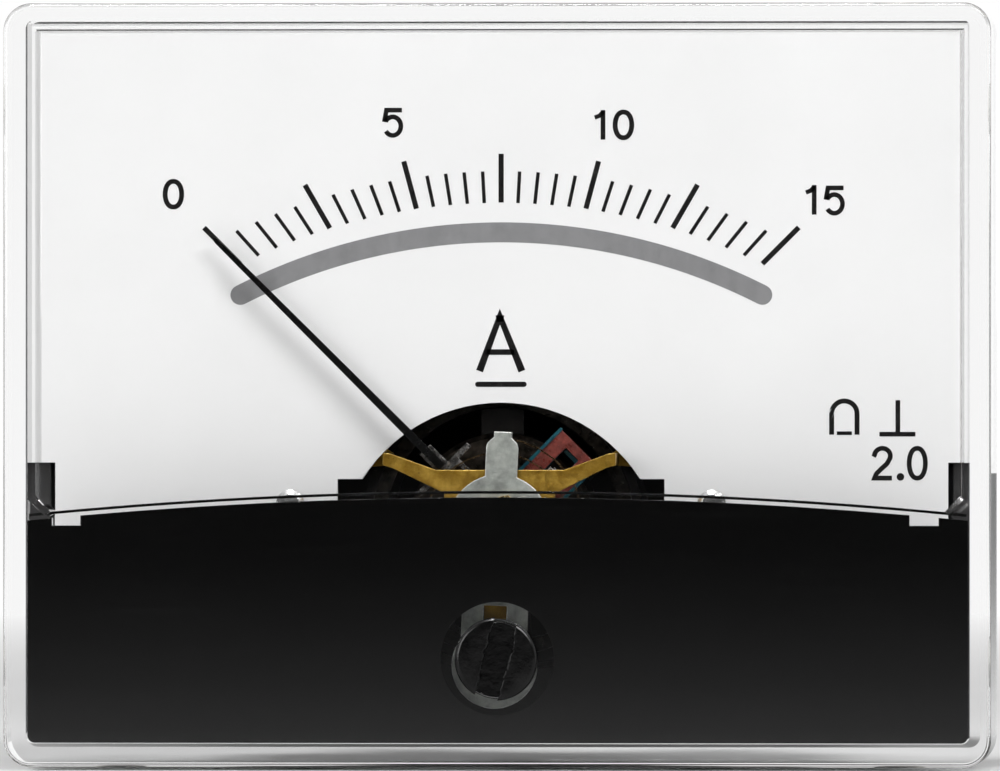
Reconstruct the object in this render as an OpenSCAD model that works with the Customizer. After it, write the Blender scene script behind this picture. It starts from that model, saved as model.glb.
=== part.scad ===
// Analog panel meter, moving-coil type, with a clear front.
// Front faces -Y, barrel and terminals point to +Y, X right, Z up.
// The origin is the centre of the barrel on the panel plane (y = 0).

/* [Front] */
// Width of the front
bezel_w = 60; // [59:0.5:62]
// Height of the front
bezel_h = 46.5; // [46.2:0.1:47]
// How far the front stands out from the panel
front_d = 13.5; // [13.4:0.1:14.4]
// Corner radius of the front
corner_r = 1.9; // [1.2:0.1:2.4]
// Rounding of the front edge
edge_r = 0.3; // [0.2:0.1:0.9]

/* [Barrel] */
// Outer diameter of the barrel that goes through the panel
barrel_d = 37.5; // [37.2:0.1:37.8]
// Length of the barrel behind the panel
barrel_l = 22; // [21.8:0.2:24]
// Distance between the panel studs along X
stud_dx = 48; // [46:1:49]
// Distance between the panel studs along Z
stud_dz = 34; // [32:1:35]
// Length of the panel studs behind the panel
stud_l = 12; // [8:1:16]

/* [Terminals] */
// Distance between the two terminals
term_dx = 19; // [18.6:0.2:19.4]
// Height of the terminals above the barrel's axis
term_z = 7; // [6.8:0.1:7.4]
// Length of the terminal studs behind the barrel
term_l = 12; // [11:0.5:16]

/* [Dial] */
// Radius of the half-round aperture in the dial
aperture_r = 10; // [9.9:0.05:10.1]
// Length of the pointer from its pivot to its tip
pointer_l = 24.65; // [20:0.05:24.8]

/* [Movement] */
// Height of the pivot axis, below the barrel's axis
pivot_z = -8.5; // [-8.6:0.05:-8.4]
// Angle of the pointer at rest, left of vertical
rest_angle = 45; // [43:0.5:47]
// Turn of the zero lever at rest, clockwise from the front
lever_tilt = 2.5; // [1:0.5:4]

/* [Hidden] */
$fn = 64;

// depths along Y, front to back
y_front = -front_d;          // outside of the front wall
y_in = y_front + 1.5;        // inside of the front wall, face of the mask
y_mask = y_in + 1.2;         // back of the mask
y_lev = -9.55;               // front of the zero lever
y_brg = -9.1;                // front of the bridge
y_spr = -8.2;                // front of the hairspring
y_ptr = -7.5;                // front of the pointer
y_dial = -6.3;               // face of the dial
y_wall = -5.7;               // back of the dial, top of the base's wall
y_plate = -3;                // inside of the base plate
y_cup = -3.8;                // front of the yoke and cup

// inside of the cover, seen from the front
cav_x = bezel_w / 2 - 1.5;
cav_b = -bezel_h / 2 + 1.6;
cav_t = bezel_h / 2 - 1.2;
// draft of the cover: the front is smaller outside, the mouth is wider inside
draft_out = 0.2;
draft_in = 0.55;
// half width and top of the base's edge wall
base_x = cav_x + 0.22;
base_t = cav_t + 0.05;

// arched edge of the mask
arch_z = -6.75;
arch_r = 289;

// zero adjuster and its eccentric pin
adj_z = -16.5;
lever_arm = 8.9;
pin_x = -lever_arm * sin(lever_tilt);
pin_z = pivot_z - lever_arm * cos(lever_tilt);

// fixing points, X given for the right side
dial_scr = [12.8, -7.23];
lug = [9.6, -3.9];
chs_scr = [12.6, 0.6];
cov_scr = [12, -18.1];

// a 2D shape in X-Z, extruded from y0 to y1
module slab(y0, y1) {
  translate([0, y1, 0]) rotate([90, 0, 0]) linear_extrude(y1 - y0) children();
}
// a round bar along Y
module ybar(r, y0, y1, x = 0, z = 0) {
  slab(y0, y1) translate([x, z]) circle(r);
}
// a bar along Y that narrows from r0 at y0 to r1 at y1
module ycone(r0, r1, y0, y1, x = 0, z = 0) {
  translate([x, y0, z]) rotate([-90, 0, 0]) cylinder(r1 = r0, r2 = r1, h = y1 - y0);
}
// a hexagon bar along Y, given across its flats
module yhex(af, y0, y1, x = 0, z = 0, turn = 0) {
  slab(y0, y1) translate([x, z]) rotate(turn) circle(r = af / sqrt(3), $fn = 6);
}
// a hexagon nut's body with both ends chamfered
module nut_blank(af, y0, y1, x = 0, z = 0, turn = 0) {
  c = 0.32;
  intersection() {
    yhex(af, y0, y1, x, z, turn);
    union() {
      ycone(af / 2 - 0.05, af / 2 + 0.6, y0, y0 + c, x, z);
      ybar(af / 2 + 0.6, y0 + c, y1 - c, x, z);
      ycone(af / 2 + 0.6, af / 2 - 0.05, y1 - c, y1, x, z);
    }
  }
}
// a rectangle with round corners between two corners
module round_rect(x0, z0, x1, z1, r, n = $fn) {
  translate([x0 + r, z0]) square([x1 - x0 - 2 * r, z1 - z0]);
  translate([x0, z0 + r]) square([x1 - x0, z1 - z0 - 2 * r]);
  for (x = [x0 + r, x1 - r], z = [z0 + r, z1 - r]) translate([x, z]) circle(r, $fn = n);
}
// the same shape on the left and on the right
module both() { children(); mirror([1, 0, 0]) children(); }
// puts the children on the pivot axis, turned clockwise from the front
module at_pivot(a = 0) { translate([0, 0, pivot_z]) rotate([0, a, 0]) children(); }
// the disc under the mask's arched edge
module arch_disc(grow = 0) {
  translate([0, arch_z - arch_r]) circle(arch_r + grow, $fn = 720);
}
// a round wire through a list of points
module wire(p, r) {
  for (i = [0 : len(p) - 2]) {
    d = p[i + 1] - p[i];
    l = norm(d);
    translate(p[i]) rotate([0, acos(d[2] / l), atan2(d[1], d[0])])
      cylinder(r = r, h = l, $fn = 24);
    if (i > 0) translate(p[i]) sphere(r * 1.12, $fn = 24);
  }
}
// flat spiral strip: r0 to r1 over n turns, starting at angle a0, thickness t
function spiral(r0, r1, n, a0, s, t) = [for (i = [0 : s])
  let (f = i / s, a = a0 + f * n * 360, r = r0 + f * (r1 - r0) + t)
  [r * cos(a), r * sin(a)]];
module hairspring(r0, r1, n, a0, t = 0.09, s = 132) {
  polygon(concat(spiral(r0, r1, n, a0, s, 0),
    [for (p = [s : -1 : 0]) spiral(r0, r1, n, a0, s, t)[p]]));
}

// --- case and front ---

module front_cover() {
  color([0.93, 0.95, 0.96, 0.35]) difference() {
    union() {
      difference() {
        hull() for (x = [-1, 1], z = [-1, 1]) {
          translate([x * (bezel_w / 2 - corner_r), 0, z * (bezel_h / 2 - corner_r)])
            rotate([90, 0, 0]) cylinder(r = corner_r, h = 0.02, $fn = 32);
          for (k = [0 : 4]) {
            ins = edge_r * (1 - sin(k * 22.5)) + draft_out;
            dep = edge_r * (1 - cos(k * 22.5));
            translate([x * (bezel_w / 2 - corner_r), y_front + dep + 0.02, z * (bezel_h / 2 - corner_r)])
              rotate([90, 0, 0]) cylinder(r = corner_r - ins, h = 0.02, $fn = 32);
          }
        }
        hull() {
          slab(y_in, y_in + 0.02) round_rect(-cav_x, cav_b, cav_x, cav_t, 0.5, 24);
          slab(0, 0.02) round_rect(-cav_x - draft_in, cav_b - draft_in * 0.7,
            cav_x + draft_in, cav_t + draft_in * 0.6, 0.7, 24);
        }
      }
      // window frame rib, down to the dial
      slab(y_in - 0.1, y_dial - 0.1) difference() {
        polygon([[-28.4, cav_t - 0.25], [28.4, cav_t - 0.25], [28.4, -6.9],
          [27.35, -7.9], [26.9, -7.6], [-26.9, -7.6], [-27.35, -7.9], [-28.4, -6.9]]);
        polygon([[-27.9, cav_t - 0.7], [27.9, cav_t - 0.7], [27.9, -6.65],
          [26.95, -7.65], [26.5, -9], [-26.5, -9], [-26.95, -7.65], [-27.9, -6.65]]);
      }
      // thin rib along the arch, with two locating tabs
      slab(y_in - 0.1, y_mask) intersection() {
        difference() {
          arch_disc(0.2);
          difference() {
            arch_disc(0);
            for (x = [-26.05, 25.75]) translate([x - 0.85, -8.45]) square([1.7, 1]);
          }
        }
        translate([-28.3, -8.45]) square([56.6, 3]);
      }
    }
    ybar(2.3, y_front - 1, y_in + 0.5, 0, adj_z);
  }
}

module lower_mask() {
  color([0.05, 0.05, 0.05]) difference() {
    union() {
      slab(y_in, y_mask) difference() {
        intersection() {
          round_rect(-cav_x + 0.1, cav_b + 0.05, cav_x - 0.1, -5, 0.45);
          arch_disc(-0.02);
        }
        for (x = [-26.05, 25.75]) translate([x - 0.88, -8.48]) square([1.76, 1.5]);
      }
      both() ybar(1.9, y_mask - 0.1, y_plate, cov_scr[0], cov_scr[1]);
      both() slab(y_mask - 0.1, y_wall - 0.2)
        translate([cov_scr[0] - 0.4, cav_b + 0.2]) square([0.8, 2.6]);
    }
    // through this opening the lever's eye shows round the adjuster
    ybar(3.42, y_in - 0.1, y_mask + 0.1, 0, adj_z);
    both() ybar(1.0, y_plate - 6.2, y_plate + 0.1, cov_scr[0], cov_scr[1]);
  }
}

module zero_adjuster() {
  color([0.06, 0.06, 0.06]) {
    difference() {
      union() {
        // head, neck through the front and snap collar behind it
        ycone(2.2, 2.5, y_front - 0.8, y_front - 0.5, 0, adj_z);
        ybar(2.5, y_front - 0.5, y_front - 0.05, 0, adj_z);
        ybar(2.2, y_front - 0.1, y_in + 0.1, 0, adj_z);
        ybar(2.42, y_in + 0.05, y_in + 0.45, 0, adj_z);
        ycone(2.42, 2.0, y_in + 0.45, y_in + 0.8, 0, adj_z);
        ybar(1.8, y_in + 0.7, y_mask + 0.15, 0, adj_z);
        ybar(0.6, y_mask + 0.1, y_lev + 0.6, pin_x, pin_z);
      }
      slab(y_front - 0.9, y_front + 0.5) translate([0, adj_z]) rotate(-14)
        square([1.4, 6], center = true);
    }
  }
}

module base_housing() {
  color([0.10, 0.10, 0.10]) difference() {
    union() {
      // base plate, barrel and the low wall that carries the dial's edge
      slab(y_plate, 0) round_rect(-base_x, cav_b + 0.15, base_x, base_t, 0.6);
      slab(y_wall, y_plate + 0.1) difference() {
        round_rect(-base_x, cav_b + 0.15, base_x, base_t, 0.6);
        round_rect(-base_x + 1.3, cav_b + 1.35, base_x - 1.3, base_t - 1.3, 0.5);
      }
      difference() {
        union() {
          ybar(barrel_d / 2, -0.1, barrel_l - 0.8);
          ycone(barrel_d / 2, barrel_d / 2 - 0.8, barrel_l - 0.8, barrel_l);
        }
        ybar(barrel_d / 2 - 1.4, -1, barrel_l - 1.6);
      }
      // bosses for the movement, each tied to the barrel's wall
      both() {
        ybar(2.2, 8.4, barrel_l - 1.5, chs_scr[0], chs_scr[1]);
        slab(9.4, barrel_l - 1.5) translate([chs_scr[0], chs_scr[1] - 0.6]) square([5.2, 1.2]);
      }
      // raised rings round the terminals, and the polarity marks
      both() ybar(5.2, barrel_l - 1.6, barrel_l + 0.5, term_dx / 2, term_z);
      slab(barrel_l - 0.5, barrel_l + 0.35) {
        translate([-term_dx / 2, term_z - 8.2]) square([3.2, 0.7], center = true);
        translate([-term_dx / 2, term_z - 8.2]) square([0.7, 3.2], center = true);
        translate([term_dx / 2, term_z - 8.2]) square([3.2, 0.7], center = true);
      }
    }
    ybar(barrel_d / 2 - 1.4, y_plate - 0.1, 0.5);
    both() {
      ybar(0.9, 8.3, 15.5, chs_scr[0], chs_scr[1]);
      ybar(2.05, barrel_l - 3, barrel_l + 1, term_dx / 2, term_z);
      ybar(1.05, y_plate - 1, 1, cov_scr[0], cov_scr[1]);
      ybar(2.0, -1.3, 1, cov_scr[0], cov_scr[1]);
      for (z = [-1, 1]) ybar(1.95, -2.2, 1, stud_dx / 2, z * stud_dz / 2);
    }
  }
}

module cover_screws() {
  color([0.75, 0.75, 0.77]) both() difference() {
    union() {
      ybar(1.8, -1.3, -0.3, cov_scr[0], cov_scr[1]);
      ybar(1.0, y_plate - 6, -1.2, cov_scr[0], cov_scr[1]);
      ycone(0.3, 1.0, y_plate - 6.6, y_plate - 6, cov_scr[0], cov_scr[1]);
    }
    slab(-0.8, 0) translate(cov_scr) {
      square([2.2, 0.45], center = true);
      square([0.45, 2.2], center = true);
    }
    slab(y_plate - 7, y_plate - 6.19) translate(cov_scr) square(4, center = true);
  }
}

module panel_studs() {
  color([0.78, 0.77, 0.72]) for (x = [-1, 1], z = [-1, 1]) {
    ybar(1.95, -2.2, 0, x * stud_dx / 2, z * stud_dz / 2);
    ybar(1.5, -0.1, stud_l - 0.5, x * stud_dx / 2, z * stud_dz / 2);
    ycone(1.5, 1.05, stud_l - 0.5, stud_l, x * stud_dx / 2, z * stud_dz / 2);
  }
}

// --- dial ---

module dial_plate() {
  color([0.92, 0.92, 0.92]) slab(y_dial, y_wall) difference() {
    union() {
      translate([-base_x + 0.17, -4.7]) square([2 * base_x - 0.34, base_t + 4.7 - 0.2]);
      translate([-27.13, -13]) square([54.26, 9]);
    }
    translate([0, -11.06]) circle(aperture_r, $fn = 128);
    translate([-aperture_r, -14]) square([2 * aperture_r, 2.94]);
    translate([-9.95, -14]) square([19.87, 8.3]);
    both() translate(dial_scr) circle(0.62, $fn = 32);
  }
}

module dial_screws() {
  color([0.80, 0.80, 0.80]) both() difference() {
    union() {
      ybar(0.88, y_dial - 0.3, y_dial, dial_scr[0], dial_scr[1]);
      ycone(0.6, 0.88, y_dial - 0.5, y_dial - 0.3, dial_scr[0], dial_scr[1]);
      ybar(0.55, y_dial - 0.1, y_wall + 3, dial_scr[0], dial_scr[1]);
    }
    slab(y_dial - 1, y_dial - 0.25) translate(dial_scr) rotate(20)
      square([3, 0.3], center = true);
  }
}

// --- fixed part of the movement ---

module movement_chassis() {
  color([0.30, 0.30, 0.31]) difference() {
    union() {
      // back plate with its two ears
      slab(6.9, 8.4) {
        translate([0, pivot_z]) circle(8.6);
        both() {
          translate(chs_scr) circle(2.1);
          translate(dial_scr) circle(1.7);
          polygon([[4, -2.5], [10.5, 0.9], [14.6, -0.2], [14.45, -7.6], [12.2, -8.8], [7, -10]]);
        }
      }
      // cup wall, with the lugs for the bridge
      slab(y_cup, 7) difference() {
        union() {
          translate([0, pivot_z]) circle(8.6);
          both() {
            translate(lug) circle(1.4);
            polygon([[6.9, -5.0], [9.0, -5.15], [9.9, -3.6], [9.2, -2.6], [6.5, -3.4]]);
          }
        }
        translate([0, pivot_z]) circle(8.02);
      }
      // posts that hold the core magnet, above and below it
      slab(-4.4, 7) translate([0, pivot_z]) intersection() {
        difference() {
          circle(7.12);
          circle(5.62);
        }
        square([2.6, 20], center = true);
      }
      // pillars for the dial
      both() ybar(1.35, y_wall, 7, dial_scr[0], dial_scr[1]);
    }
    ybar(1.0, 6, 9, 0, pivot_z);
    ybar(0.65, 6, 9, 0, pivot_z - 4.75);
    both() {
      ybar(1.0, 6, 9, chs_scr[0], chs_scr[1]);
      ybar(0.55, y_wall - 1, y_wall + 4, dial_scr[0], dial_scr[1]);
      ybar(0.7, y_cup - 1, y_cup + 6, lug[0], lug[1]);
    }
  }
}

module chassis_screws() {
  color([0.75, 0.75, 0.77]) both() difference() {
    union() {
      ybar(1.7, 5.8, 6.9, chs_scr[0], chs_scr[1]);
      ybar(0.9, 6.8, 15, chs_scr[0], chs_scr[1]);
    }
    slab(5, 6.3) translate(chs_scr) rotate(35) square([4, 0.45], center = true);
  }
}

module yoke_ring() {
  color([0.28, 0.26, 0.24]) translate([0, 0, pivot_z]) slab(y_cup, 6.88) difference() {
    circle(8.0);
    circle(7.15);
  }
}

module core_magnet() {
  color([0.33, 0.31, 0.29]) translate([0, 0, pivot_z]) {
    ybar(5.6, -4.7, 4.2);
    ycone(5.3, 5.6, -5.0, -4.7);
  }
}

module front_bridge() {
  color([0.78, 0.60, 0.22]) difference() {
    union() {
      slab(y_brg, y_brg + 0.4) difference() {
        union() {
          polygon([[-7.05, -4.12], [-6.6, -4.15], [-3.84, -5.14], [3.9, -5.14], [6.6, -4.15],
            [7.05, -4.12], [7.05, -4.86], [6.5, -5.0], [3.4, -6.55], [3.3, -8.5],
            [2.0, -11.4], [0.9, -12.2], [0.9, -16.15], [-0.9, -16.15], [-0.9, -12.2],
            [-2.0, -11.4], [-3.3, -8.5], [-3.3, -6.55], [-6.5, -5.0], [-7.05, -4.86]]);
          translate([0, pivot_z]) circle(3.5);
        }
        translate([0, pivot_z]) circle(1.0);
      }
      // upper legs and their feet
      both() {
        slab(y_brg + 0.3, y_cup) translate([6.65, -4.86]) square([0.4, 0.72]);
        slab(y_cup - 0.4, y_cup) {
          polygon([[6.65, -4.86], [8.9, -5.05], [10.4, -4.9], [10.4, -2.9], [8.9, -2.75], [6.65, -4.14]]);
          translate(lug) circle(1.35);
        }
      }
      // lower leg, which only stands on the yoke
      slab(y_brg + 0.3, y_cup) translate([-0.9, -16.15]) square([1.8, 0.4]);
    }
    both() ybar(0.8, y_cup - 1, y_cup + 1, lug[0], lug[1]);
  }
}

module bridge_screws() {
  color([0.25, 0.25, 0.26]) both() difference() {
    union() {
      ybar(1.25, y_cup - 1.1, y_cup - 0.4, lug[0], lug[1]);
      ybar(0.7, y_cup - 0.5, y_cup + 5, lug[0], lug[1]);
    }
    slab(y_cup - 2, y_cup - 0.75) translate(lug) rotate(-25) square([3, 0.35], center = true);
  }
}

// jewel screw; s = -1 at the front, 1 at the back
module jewel_screw(y_out, y_in_, s) {
  lo = min(y_out, y_in_);
  hi = max(y_out, y_in_);
  cup = s < 0 ? [y_in_ - 0.75, y_in_ + 1] : [y_in_ - 1, y_in_ + 0.75];
  slot = s < 0 ? [y_out - 1, y_out + 0.4] : [y_out - 0.4, y_out + 1];
  translate([0, 0, pivot_z]) difference() {
    ybar(1.0, lo, hi);
    ybar(0.55, cup[0], cup[1]);
    slab(slot[0], slot[1]) rotate(60) square([3, 0.35], center = true);
  }
}
module front_jewel_screw() { color([0.82, 0.68, 0.35]) jewel_screw(-10.4, -8.45, -1); }
module rear_jewel_screw() { color([0.82, 0.68, 0.35]) jewel_screw(9.9, 6.55, 1); }

module front_jewel() {
  color([0.75, 0.15, 0.25]) translate([0, 0, pivot_z]) difference() {
    ybar(0.55, -9.2, -8.47);
    ycone(0.05, 0.4, -8.95, -8.45);
  }
}
module rear_jewel() {
  color([0.75, 0.15, 0.25]) translate([0, 0, pivot_z]) difference() {
    ybar(0.55, 6.57, 7.3);
    ycone(0.4, 0.05, 6.55, 7.05);
  }
}
module lock_nut(y0, y1, turn) {
  translate([0, 0, pivot_z]) difference() {
    yhex(3.4, y0, y1, 0, 0, turn);
    ybar(1.0, y0 - 1, y1 + 1);
  }
}
module front_lock_nut() { color([0.82, 0.68, 0.35]) lock_nut(-10.15, -9.6, 12); }
module rear_lock_nut() { color([0.82, 0.68, 0.35]) lock_nut(8.4, 9.2, 40); }

module rear_spring_tab() {
  color([0.82, 0.68, 0.35]) translate([0, 0, pivot_z]) {
    ybar(0.45, 6.5, 9.8, 0, -4.75);
    ybar(0.84, 6.55, 6.9, 0, -4.75);
    ybar(1.1, 8.4, 8.75, 0, -4.75);
    slab(5.95, 6.6) translate([-0.5, -5.1]) square([1, 0.35]);
  }
}

module rear_hairspring() {
  color([0.62, 0.42, 0.20]) translate([0, 0, pivot_z])
    slab(6.0, 6.3) hairspring(1.18, 4.66, 4.5, 90);
}

// --- moving part of the movement ---

module zero_lever() {
  color([0.70, 0.71, 0.68]) at_pivot(lever_tilt) {
    slab(y_lev, y_lev + 0.4) difference() {
      union() {
        circle(3.1);
        // stem and its shoulders
        polygon([[-0.97, 2.6], [-0.97, 4.7], [-0.9, 5.0], [-0.52, 5.35], [-0.52, 5.68],
          [0.52, 5.68], [0.52, 5.35], [0.9, 5.0], [0.97, 4.7], [0.97, 2.6]]);
        polygon([[-2.45, 1.9], [-1.5, 2.6], [-0.97, 2.95], [0.97, 2.95], [1.5, 2.6], [2.45, 1.9]]);
        // arm that ends in an eye
        polygon([[-1.3, -2.4], [1.3, -2.4], [2.0, -4.2], [2.0, -8.4], [-2.0, -8.4], [-2.0, -4.2]]);
        translate([0.1, -8.48]) circle(2.6);
      }
      circle(1.05);
      // slot for the eccentric pin
      translate([-0.7, -9.75]) square([1.4, 4.9]);
    }
    slab(y_lev + 0.3, y_spr + 0.35) translate([-0.52, 5.33]) square([1.04, 0.35]);
  }
}

module front_hairspring() {
  color([0.62, 0.42, 0.20]) at_pivot(lever_tilt)
    slab(y_spr, y_spr + 0.3) hairspring(1.13, 5.24, 4.5, -90);
}

// a flat frame round the core, in the coil's own plane
module coil_frame(u0, y0a, y0b, u1, y1a, y1b, v0, v1) {
  difference() {
    translate([-u1, y1a, v0]) cube([2 * u1, y1b - y1a, v1 - v0]);
    translate([-u0, y0a, v0 - 1]) cube([2 * u0, y0b - y0a, v1 - v0 + 2]);
  }
}
module coil_former() {
  color([0.05, 0.33, 0.38]) at_pivot(rest_angle - 90) difference() {
    union() {
      coil_frame(5.9, -5.45, 4.65, 6.05, -5.6, 4.8, -1.5, 1.5);
      coil_frame(5.9, -5.45, 4.65, 6.75, -6.4, 5.6, -1.65, -1.45);
      coil_frame(5.9, -5.45, 4.65, 6.75, -6.4, 5.6, 1.45, 1.65);
    }
    for (x = [-1, 1]) translate([x * 3.9 - 1.9, -7, -0.5]) cube([3.8, 14, 1]);
  }
}
module coil_winding() {
  color([0.62, 0.16, 0.12]) at_pivot(rest_angle - 90) difference() {
    coil_frame(6.05, -5.6, 4.8, 6.68, -6.3, 5.5, -1.45, 1.45);
    for (x = [-1, 1]) translate([x * 4.05 - 2.05, -7, -0.55]) cube([4.1, 14, 1.1]);
  }
}

module pivot_front() {
  color([0.80, 0.80, 0.82]) at_pivot(rest_angle - 90) {
    translate([-1.1, -6.55, -1.35]) cube([2.2, 0.25, 2.7]);
    ybar(0.64, -7.9, -6.5);
    ybar(1.1, -8.25, -7.85);
    ybar(0.18, -8.55, -8.2);
    ycone(0.04, 0.18, -8.88, -8.55);
  }
}
module pivot_rear() {
  color([0.80, 0.80, 0.82]) at_pivot(rest_angle - 90) {
    translate([-1.1, 5.5, -1.35]) cube([2.2, 0.25, 2.7]);
    ybar(1.15, 5.7, 6.3);
    ybar(0.18, 6.2, 6.65);
    ycone(0.18, 0.04, 6.65, 6.98);
  }
}

module pointer() {
  color([0.04, 0.04, 0.04]) at_pivot(-rest_angle)
    slab(y_ptr, y_ptr + 0.3)
      polygon([[-0.25, 5.0], [-0.25, 8], [-0.15, pointer_l - 0.25], [-0.06, pointer_l],
        [0.06, pointer_l], [0.15, pointer_l - 0.25], [0.25, 8], [0.25, 5.0]]);
}

module balance_cross() {
  color([0.62, 0.62, 0.64]) at_pivot(-rest_angle)
    slab(y_ptr + 0.3, y_ptr + 0.55) difference() {
      union() {
        // hub, pointer holder, crossbar, side arms and tail
        circle(1.5);
        translate([-1.08, 0]) square([2.16, 5.0]);
        translate([-0.45, 4]) square([0.9, 2.5]);
        translate([-2.1, 4.65]) square([4.2, 0.35]);
        translate([-4.8, -0.17]) square([9.6, 0.34]);
        translate([-0.2, -5.2]) square([0.4, 5]);
      }
      circle(0.66);
      translate([-0.78, 1.7]) square([1.56, 2.7]);
    }
}

module balance_weights() {
  color([0.85, 0.85, 0.83]) at_pivot(-rest_angle) {
    // on the two side arms, and on the tail
    for (x = [-1, 1]) translate([x * 4.15 - 0.5, y_ptr + 0.17, -0.36])
      difference() {
        cube([1.0, 0.62, 0.72]);
        translate([-1, 0.13, 0.19]) cube([3, 0.25, 0.34]);
      }
    translate([-0.45, y_ptr + 0.13, -4.9]) difference() {
      cube([0.9, 0.7, 1.5]);
      translate([0.25, 0.17, -1]) cube([0.4, 0.25, 4]);
    }
  }
}

// --- electrical parts ---

module terminal_studs() {
  color([0.80, 0.66, 0.34]) both() {
    // the free thread has its outer radius, and inside a nut its pitch radius
    yhex(7, barrel_l - 5.2, barrel_l - 2.8, term_dx / 2, term_z, 15);
    ybar(2.0, barrel_l - 3, barrel_l + 1.1, term_dx / 2, term_z);
    ybar(1.77, barrel_l + 1, barrel_l + 7.5, term_dx / 2, term_z);
    ybar(2.0, barrel_l + 3.3, barrel_l + 5.0, term_dx / 2, term_z);
    ybar(2.0, barrel_l + 7.4, barrel_l + term_l - 0.6, term_dx / 2, term_z);
    ycone(2.0, 1.45, barrel_l + term_l - 0.6, barrel_l + term_l, term_dx / 2, term_z);
  }
}
module terminal_nuts() {
  color([0.80, 0.66, 0.34]) both() difference() {
    union() {
      nut_blank(7, barrel_l + 1.1, barrel_l + 3.3, term_dx / 2, term_z, 20);
      nut_blank(7, barrel_l + 5.0, barrel_l + 7.4, term_dx / 2, term_z, -8);
    }
    ybar(1.77, barrel_l, barrel_l + 9, term_dx / 2, term_z);
  }
}
module terminal_washers() {
  color([0.82, 0.70, 0.40]) both() difference() {
    ybar(4.4, barrel_l + 0.5, barrel_l + 1.1, term_dx / 2, term_z);
    ybar(2.15, barrel_l, barrel_l + 2, term_dx / 2, term_z);
  }
}
module lock_washers() {
  color([0.70, 0.70, 0.72]) both() difference() {
    ybar(3.5, barrel_l + 4.1, barrel_l + 5.0, term_dx / 2, term_z);
    ybar(2.1, barrel_l + 4, barrel_l + 6, term_dx / 2, term_z);
    slab(barrel_l + 4, barrel_l + 6) translate([term_dx / 2, term_z + 3]) rotate(20)
      square([0.5, 3], center = true);
  }
}
module solder_tags() {
  color([0.84, 0.80, 0.66]) both() slab(barrel_l + 3.3, barrel_l + 4.1) difference() {
    union() {
      translate([term_dx / 2, term_z]) circle(3.7);
      translate([term_dx / 2 - 1.5, term_z]) square([3.0, 6.3]);
      translate([term_dx / 2, term_z + 6.3]) circle(1.5);
    }
    translate([term_dx / 2, term_z]) circle(2.1);
    translate([term_dx / 2, term_z + 6.2]) circle(0.75);
  }
}
module shunt() {
  color([0.72, 0.45, 0.30]) slab(barrel_l - 2.8, barrel_l - 1.6) difference() {
    translate([-13, term_z - 3.6]) square([26, 7.2]);
    both() translate([term_dx / 2, term_z]) circle(2.05);
    for (z = [0 : 1]) translate([z * 1.8 - 1.2, term_z + (z > 0 ? -3.7 : 1.2)]) square([0.6, 2.5]);
  }
}
module lead_wire_front() {
  color([0.60, 0.10, 0.10])
    wire([[-4.6, 19.2, 4.6], [-4.6, 17.8, 4.6], [-6.6, 13.4, -2.6], [-8.2, 9.8, -6.0], [-8.2, 8.4, -6.0]], 0.4);
}
module lead_wire_rear() {
  color([0.15, 0.15, 0.16])
    wire([[4.6, 19.2, 4.6], [4.6, 17.8, 4.6], [5.6, 13.6, -5.0], [3.2, 11.6, -12.0], [0.0, 10.4, -13.25], [0.0, 9.8, -13.25]], 0.4);
}

front_cover();
lower_mask();
zero_adjuster();
base_housing();
cover_screws();
panel_studs();
dial_plate();
dial_screws();
movement_chassis();
chassis_screws();
yoke_ring();
core_magnet();
front_bridge();
bridge_screws();
front_jewel_screw();
front_jewel();
front_lock_nut();
rear_spring_tab();
rear_jewel_screw();
rear_jewel();
rear_lock_nut();
rear_hairspring();
zero_lever();
front_hairspring();
coil_former();
coil_winding();
pivot_front();
pivot_rear();
pointer();
balance_cross();
balance_weights();
terminal_studs();
terminal_nuts();
terminal_washers();
lock_washers();
solder_tags();
shunt();
lead_wire_front();
lead_wire_rear();
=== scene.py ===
import math
import random

import bmesh
import bpy
from mathutils import Matrix, Vector


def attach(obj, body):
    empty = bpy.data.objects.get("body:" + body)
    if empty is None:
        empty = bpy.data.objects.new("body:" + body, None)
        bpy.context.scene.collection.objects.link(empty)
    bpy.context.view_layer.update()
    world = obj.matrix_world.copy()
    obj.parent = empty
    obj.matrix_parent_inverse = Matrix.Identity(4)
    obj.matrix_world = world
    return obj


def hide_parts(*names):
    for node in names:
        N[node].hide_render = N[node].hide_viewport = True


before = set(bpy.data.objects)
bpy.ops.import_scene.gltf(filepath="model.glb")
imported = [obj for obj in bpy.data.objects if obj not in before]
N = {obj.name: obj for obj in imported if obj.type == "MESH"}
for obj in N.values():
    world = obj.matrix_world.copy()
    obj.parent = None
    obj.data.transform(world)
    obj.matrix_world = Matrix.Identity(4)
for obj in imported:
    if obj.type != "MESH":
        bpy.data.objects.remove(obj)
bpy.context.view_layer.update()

MM = 0.001
scene = bpy.context.scene
random.seed(7)

# ---------------------------------------------------------------- sizes, mm
Y_FRONT, Y_IN, Y_MASK = -13.5, -12.0, -10.8
Y_DIAL, Y_WALL = -6.3, -5.7
PIV = -8.5
ADJ = -16.5
ARCH_R, ARCH_C = 289.0, -295.75
CAV_X, CAV_B, CAV_T = 28.5, -21.65, 22.05

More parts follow.
